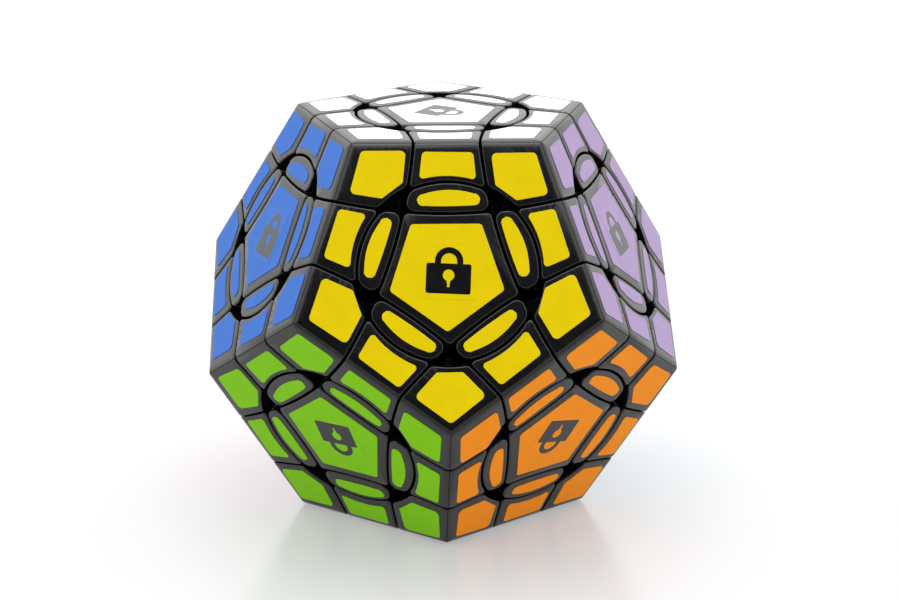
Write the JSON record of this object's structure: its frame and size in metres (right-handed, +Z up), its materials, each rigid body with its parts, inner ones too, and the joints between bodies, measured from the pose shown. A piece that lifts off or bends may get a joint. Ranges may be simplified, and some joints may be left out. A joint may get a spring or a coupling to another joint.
{
  "type": "dodecahedron twisty puzzle",
  "caption": "Dodecahedron twisty puzzle in black plastic: each face has corners, edges, petals and a pentagonal hub in a turning circle, and whole face layers turn.",
  "frame": {"origin": "centre of the face it stands on (grey), on the surface it stands on", "axes": "+Z up through the white face; -Y towards the yellow face; +X to the right of someone looking at the yellow face"},
  "size_m": [0.0934, 0.0982, 0.0802],
  "materials": {
    "black_plastic": "satin black moulded plastic",
    "core_plastic": "satin black moulded plastic",
    "spring_steel": "bright wire"
  },
  "bodies": {
    "core": {"core_with_arms": "core_plastic", "corner_dark_green_red_cream": "black_plastic", "corner_grey_orange_light_green": "black_plastic", "corner_white_dark_green_red": "black_plastic", "corner_white_purple_dark_green": "black_plastic", "corner_white_red_blue": "black_plastic", "edge_blue_light_green": "black_plastic", "edge_dark_green_cream": "black_plastic", "edge_dark_green_red": "black_plastic", "edge_grey_cream": "black_plastic", "edge_grey_light_green": "black_plastic", "edge_grey_orange": "black_plastic", "edge_orange_light_green": "black_plastic", "edge_purple_dark_green": "black_plastic", "edge_purple_orange": "black_plastic", "edge_red_blue": "black_plastic", "edge_red_cream": "black_plastic", "edge_white_blue": "black_plastic", "edge_white_dark_green": "black_plastic", "edge_white_purple": "black_plastic", "edge_white_red": "black_plastic"},
    "yellow_layer": {"corner_white_yellow_blue": "black_plastic", "corner_white_yellow_purple": "black_plastic", "corner_yellow_blue_light_green": "black_plastic", "corner_yellow_orange_light_green": "black_plastic", "corner_yellow_purple_orange": "black_plastic", "edge_white_yellow": "black_plastic", "edge_yellow_blue": "black_plastic", "edge_yellow_light_green": "black_plastic", "edge_yellow_orange": "black_plastic", "edge_yellow_purple": "black_plastic"},
    "yellow_circle": {"hub_yellow": "black_plastic", "petals_yellow": "black_plastic", "spring_yellow": "spring_steel"},
    "light_blue_layer": {"corner_dark_green_light_blue_cream": "black_plastic", "corner_grey_light_blue_cream": "black_plastic", "corner_grey_orange_light_blue": "black_plastic", "corner_purple_dark_green_light_blue": "black_plastic", "corner_purple_orange_light_blue": "black_plastic", "edge_dark_green_light_blue": "black_plastic", "edge_grey_light_blue": "black_plastic", "edge_light_blue_cream": "black_plastic", "edge_orange_light_blue": "black_plastic", "edge_purple_light_blue": "black_plastic"},
    "light_blue_circle": {"hub_light_blue": "black_plastic", "petals_light_blue": "black_plastic", "spring_light_blue": "spring_steel"},
    "pink_layer": {"corner_blue_pink_light_green": "black_plastic", "corner_grey_cream_pink": "black_plastic", "corner_grey_pink_light_green": "black_plastic", "corner_red_blue_pink": "black_plastic", "corner_red_cream_pink": "black_plastic", "edge_blue_pink": "black_plastic", "edge_cream_pink": "black_plastic", "edge_grey_pink": "black_plastic", "edge_pink_light_green": "black_plastic", "edge_red_pink": "black_plastic"},
    "pink_circle": {"hub_pink": "black_plastic", "petals_pink": "black_plastic", "spring_pink": "spring_steel"}
  },
  "joints": [
    {"name": "yellow_layer_turn", "type": "hinge", "parent": "core", "child": "yellow_layer", "pos_m": [0, 0, 0.04009], "axis": [0, -0.8944, 0.4472], "continuous": true},
    {"name": "yellow_circle_turn", "type": "hinge", "parent": "yellow_layer", "child": "yellow_circle", "pos_m": [0, 0, 0.04009], "axis": [0, -0.8944, 0.4472], "continuous": true},
    {"name": "light_blue_layer_turn", "type": "hinge", "parent": "core", "child": "light_blue_layer", "pos_m": [0, 0, 0.04009], "axis": [0.8507, 0.2764, -0.4472], "continuous": true},
    {"name": "light_blue_circle_turn", "type": "hinge", "parent": "light_blue_layer", "child": "light_blue_circle", "pos_m": [0, 0, 0.04009], "axis": [0.8507, 0.2764, -0.4472], "continuous": true},
    {"name": "pink_layer_turn", "type": "hinge", "parent": "core", "child": "pink_layer", "pos_m": [0, 0, 0.04009], "axis": [-0.8507, 0.2764, -0.4472], "continuous": true},
    {"name": "pink_circle_turn", "type": "hinge", "parent": "pink_layer", "child": "pink_circle", "pos_m": [0, 0, 0.04009], "axis": [-0.8507, 0.2764, -0.4472], "continuous": true}
  ]
}
